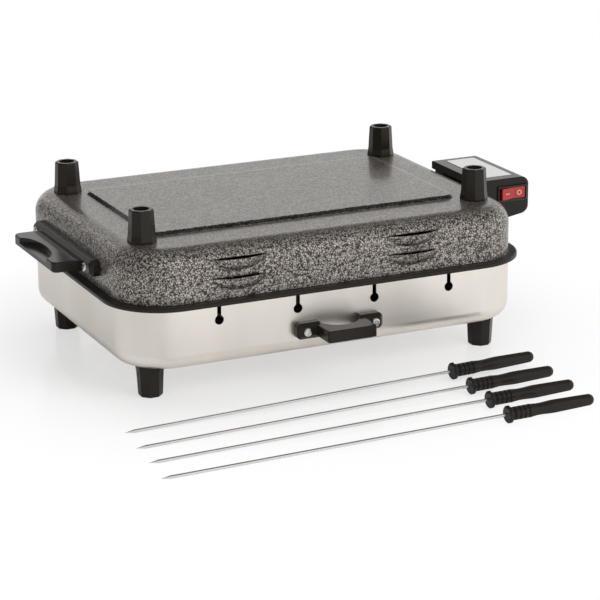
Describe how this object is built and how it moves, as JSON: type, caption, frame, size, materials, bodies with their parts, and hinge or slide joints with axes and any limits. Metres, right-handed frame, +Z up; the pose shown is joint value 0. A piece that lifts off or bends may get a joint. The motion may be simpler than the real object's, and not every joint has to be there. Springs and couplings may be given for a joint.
{
  "type": "electric barbecue grill",
  "caption": "Electric barbecue grill: stainless base with skewer keyholes, hinged hammertone lid pan with heating element, rocker switch and skewers.",
  "frame": {"origin": "middle of the footprint of the grill and the skewers laid before it, on the table", "axes": "+X to the control box, +Y to the hinges at the back, +Z up"},
  "size_m": [0.502, 0.5048, 0.1742],
  "materials": {
    "stainless": "satin",
    "hammertone": "hammered",
    "black_plastic": "satin",
    "plated_steel": "plated",
    "tray_aluminium": "satin",
    "chromed_wire": "polished",
    "label_white": "satin",
    "switch_black": "gloss",
    "rocker_red": "translucent",
    "ceramic_white": "glazed",
    "element_steel": "heat-tinted",
    "reflector_aluminium": "bright",
    "skewer_steel": "polished"
  },
  "bodies": {
    "root": {"base_pan": "stainless", "base_foot_front_left": "black_plastic", "base_foot_rear_left": "black_plastic", "base_foot_front_right": "black_plastic", "base_foot_rear_right": "black_plastic", "base_foot_screws": "plated_steel", "base_foot_nuts": "plated_steel", "front_handle": "black_plastic", "front_handle_screws": "plated_steel", "front_handle_nuts": "plated_steel", "hinge_base_leaf_left": "plated_steel", "hinge_base_leaf_right": "plated_steel", "hinge_pin_left": "plated_steel", "hinge_pin_right": "plated_steel", "hinge_base_rivets": "plated_steel", "drip_tray": "tray_aluminium", "grill_grate": "chromed_wire"},
    "lid": {"lid_pan": "hammertone", "lid_foot_front_left": "black_plastic", "lid_foot_rear_left": "black_plastic", "lid_foot_front_right": "black_plastic", "lid_foot_rear_right": "black_plastic", "lid_foot_screws": "plated_steel", "lid_foot_nuts": "plated_steel", "side_handle": "black_plastic", "side_handle_screws": "plated_steel", "side_handle_nuts": "plated_steel", "hinge_lid_leaf_left": "plated_steel", "hinge_lid_leaf_right": "plated_steel", "hinge_lid_rivets": "plated_steel", "control_cover": "black_plastic", "control_plate": "black_plastic", "control_screws": "plated_steel", "label_plate": "label_white", "switch_body": "switch_black", "thermostat": "plated_steel", "terminal_block": "ceramic_white", "cord_gland": "black_plastic", "heating_element": "element_steel", "element_bushes": "plated_steel", "reflector": "reflector_aluminium", "element_clips": "plated_steel", "clip_rivets": "plated_steel", "reflector_spacers": "plated_steel", "reflector_screws": "plated_steel"},
    "rocker": {"switch_rocker": "rocker_red"},
    "skewer_1": {"skewer_1_rod": "skewer_steel", "skewer_1_grip": "black_plastic"},
    "skewer_2": {"skewer_2_rod": "skewer_steel", "skewer_2_grip": "black_plastic"},
    "skewer_3": {"skewer_3_rod": "skewer_steel", "skewer_3_grip": "black_plastic"},
    "skewer_4": {"skewer_4_rod": "skewer_steel", "skewer_4_grip": "black_plastic"}
  },
  "joints": [
    {"name": "lid_hinge", "type": "hinge", "parent": "root", "child": "lid", "pos_m": [-0.00566, 0.24788, 0.0871], "axis": [-1, 0, 0], "range_deg": [0, 180]},
    {"name": "rocker_tilt", "type": "hinge", "parent": "lid", "child": "rocker", "pos_m": [0.23164, 0.02338, 0.1324], "axis": [0, 0, -1], "range_deg": [0, 14]},
    {"name": "skewer_1_lift", "type": "slide", "parent": "root", "child": "skewer_1", "axis": [0, 0, 1], "range_m": [0, 0.12]},
    {"name": "skewer_2_lift", "type": "slide", "parent": "root", "child": "skewer_2", "axis": [0, 0, 1], "range_m": [0, 0.12]},
    {"name": "skewer_3_lift", "type": "slide", "parent": "root", "child": "skewer_3", "axis": [0, 0, 1], "range_m": [0, 0.12]},
    {"name": "skewer_4_lift", "type": "slide", "parent": "root", "child": "skewer_4", "axis": [0, 0, 1], "range_m": [0, 0.12]}
  ]
}
